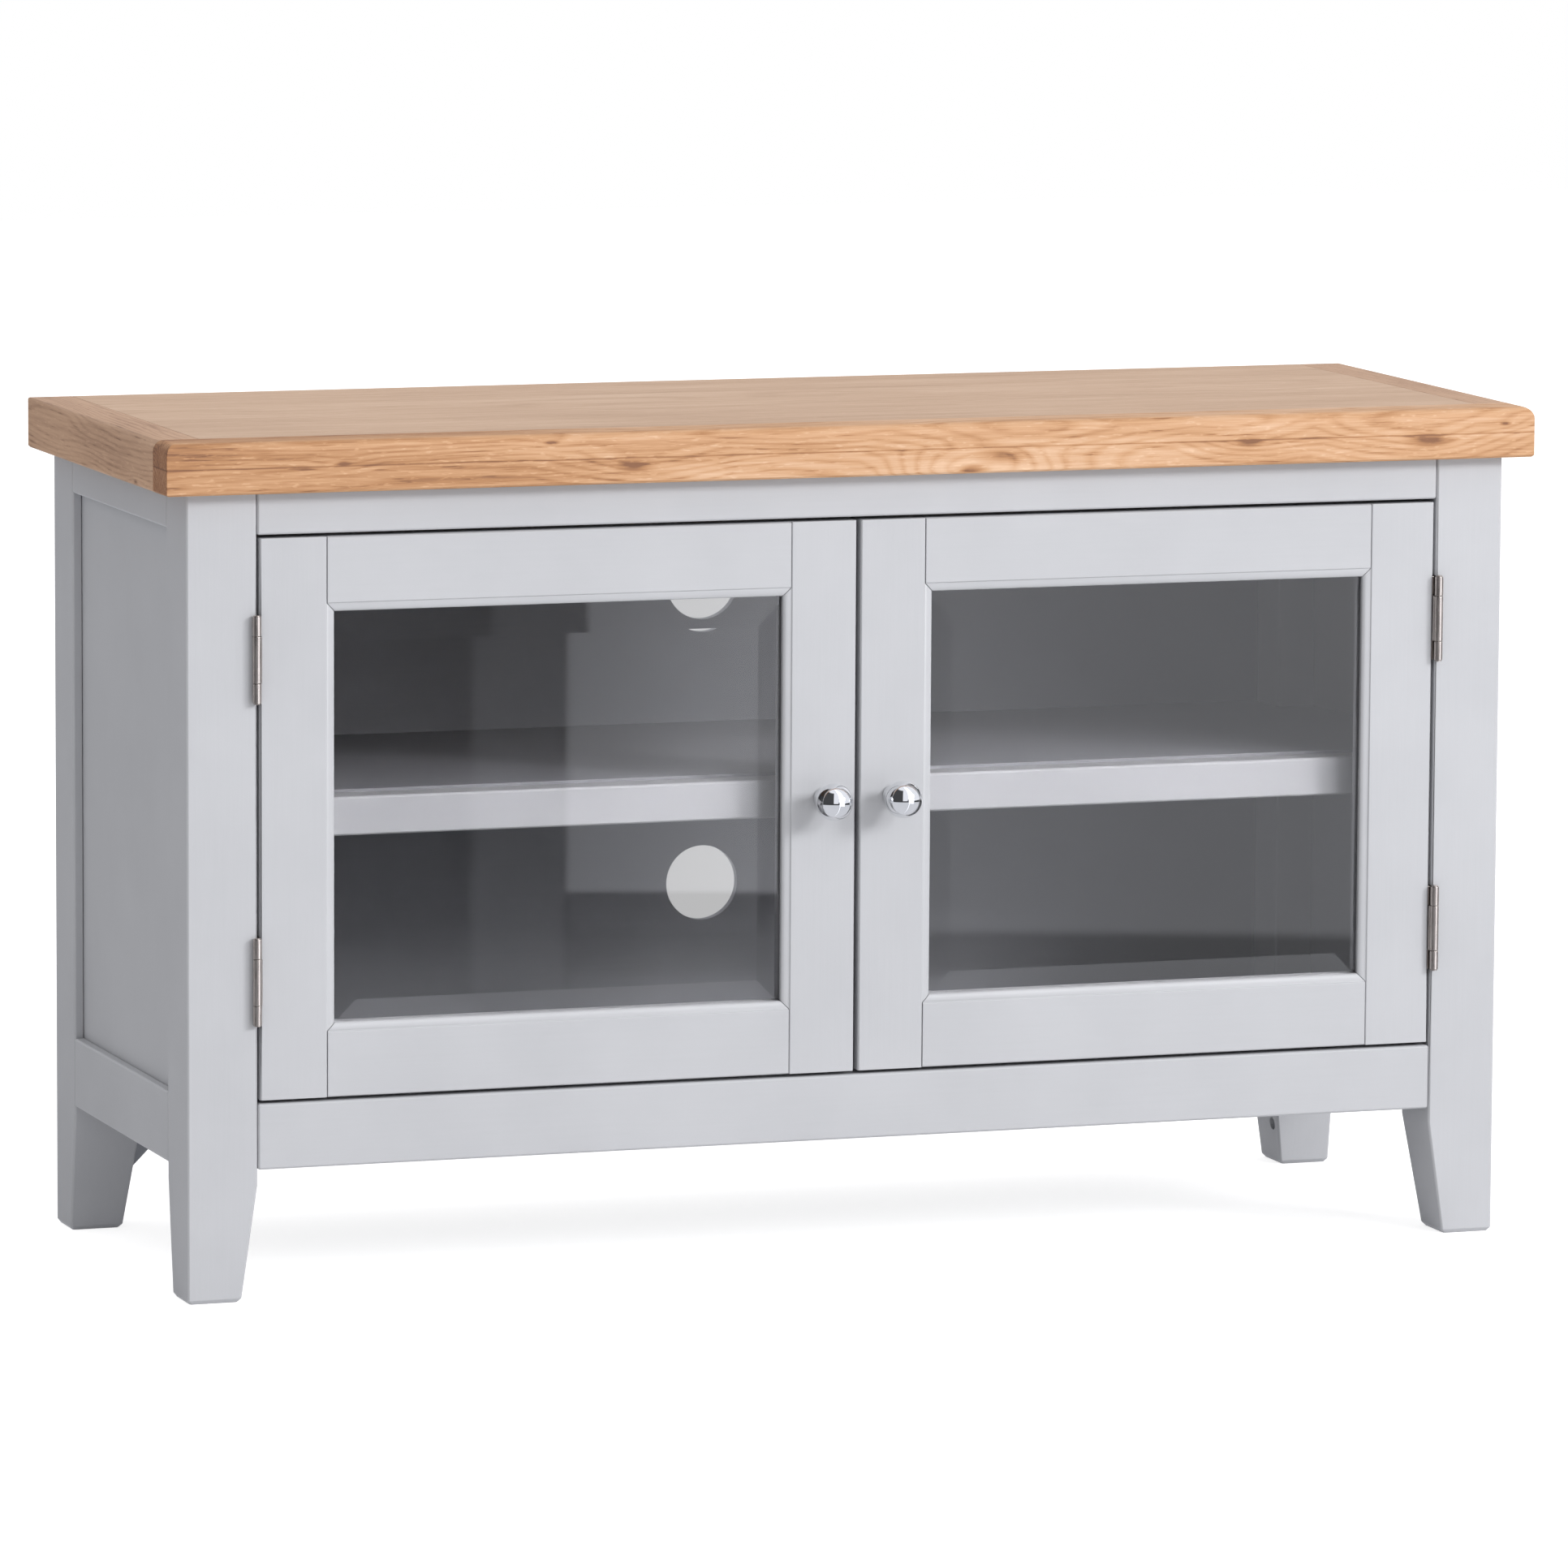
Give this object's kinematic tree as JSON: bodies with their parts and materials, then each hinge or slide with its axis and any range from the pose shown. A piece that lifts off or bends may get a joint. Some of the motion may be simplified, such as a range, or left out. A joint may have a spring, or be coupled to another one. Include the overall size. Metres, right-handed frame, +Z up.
{
  "type": "media cabinet",
  "caption": "Low painted wood media cabinet with an oak top, glazed doors on butt hinges, a fixed shelf and cable holes in its back.",
  "frame": {"origin": "on the floor, at the middle of the overall box", "axes": "+Z up, the doors face -Y, +X to the right as seen from the front"},
  "size_m": [0.846, 0.324, 0.5],
  "materials": {
    "painted_wood": "pale grey satin paint over wood",
    "oak": "natural oak, satin lacquer",
    "clear_glass": "clear, polished, bevelled edge",
    "polished_chrome": "mirror polished",
    "satin_nickel": "satin nickel plate",
    "zinc_plate": "bright zinc plate",
    "catch_plastic": "moulded, off white"
  },
  "bodies": {
    "root": {"top_board": "oak", "top_front_strip": "oak", "top_rear_strip": "oak", "top_left_strip": "oak", "top_right_strip": "oak", "front_left_post": "painted_wood", "rear_left_post": "painted_wood", "left_side_top_rail": "painted_wood", "left_side_bottom_rail": "painted_wood", "left_side_panel": "painted_wood", "front_right_post": "painted_wood", "rear_right_post": "painted_wood", "right_side_top_rail": "painted_wood", "right_side_bottom_rail": "painted_wood", "right_side_panel": "painted_wood", "front_top_rail": "painted_wood", "front_bottom_rail": "painted_wood", "rear_top_rail": "painted_wood", "rear_bottom_rail": "painted_wood", "back_panel": "painted_wood", "bottom_board": "painted_wood", "shelf_front_edge": "painted_wood", "shelf_board": "painted_wood", "rear_left_knee_brace": "painted_wood", "rear_right_knee_brace": "painted_wood", "left_upper_hinge_post_leaf": "satin_nickel", "left_upper_hinge_pin": "satin_nickel", "left_lower_hinge_post_leaf": "satin_nickel", "left_lower_hinge_pin": "satin_nickel", "right_upper_hinge_post_leaf": "satin_nickel", "right_upper_hinge_pin": "satin_nickel", "right_lower_hinge_post_leaf": "satin_nickel", "right_lower_hinge_pin": "satin_nickel", "magnetic_catch": "catch_plastic"},
    "left_door": {"left_door_hinge_stile": "painted_wood", "left_door_lock_stile": "painted_wood", "left_door_top_rail": "painted_wood", "left_door_bottom_rail": "painted_wood", "left_door_bottom_bead": "painted_wood", "left_door_top_bead": "painted_wood", "left_door_lock_bead": "painted_wood", "left_door_hinge_bead": "painted_wood", "left_door_glass": "clear_glass", "left_door_knob": "polished_chrome", "left_upper_hinge_door_leaf": "satin_nickel", "left_lower_hinge_door_leaf": "satin_nickel", "left_door_strike_plate": "zinc_plate"},
    "right_door": {"right_door_hinge_stile": "painted_wood", "right_door_lock_stile": "painted_wood", "right_door_top_rail": "painted_wood", "right_door_bottom_rail": "painted_wood", "right_door_bottom_bead": "painted_wood", "right_door_top_bead": "painted_wood", "right_door_lock_bead": "painted_wood", "right_door_hinge_bead": "painted_wood", "right_door_glass": "clear_glass", "right_door_knob": "polished_chrome", "right_upper_hinge_door_leaf": "satin_nickel", "right_lower_hinge_door_leaf": "satin_nickel", "right_door_strike_plate": "zinc_plate"}
  },
  "joints": [
    {"name": "left_door_hinge", "type": "hinge", "parent": "root", "child": "left_door", "pos_m": [-0.3668, -0.1339, 0.2804], "axis": [0, 0, -1], "range_deg": [0, 175]},
    {"name": "right_door_hinge", "type": "hinge", "parent": "root", "child": "right_door", "pos_m": [0.3668, -0.1339, 0.2804], "axis": [0, 0, 1], "range_deg": [0, 175]}
  ]
}
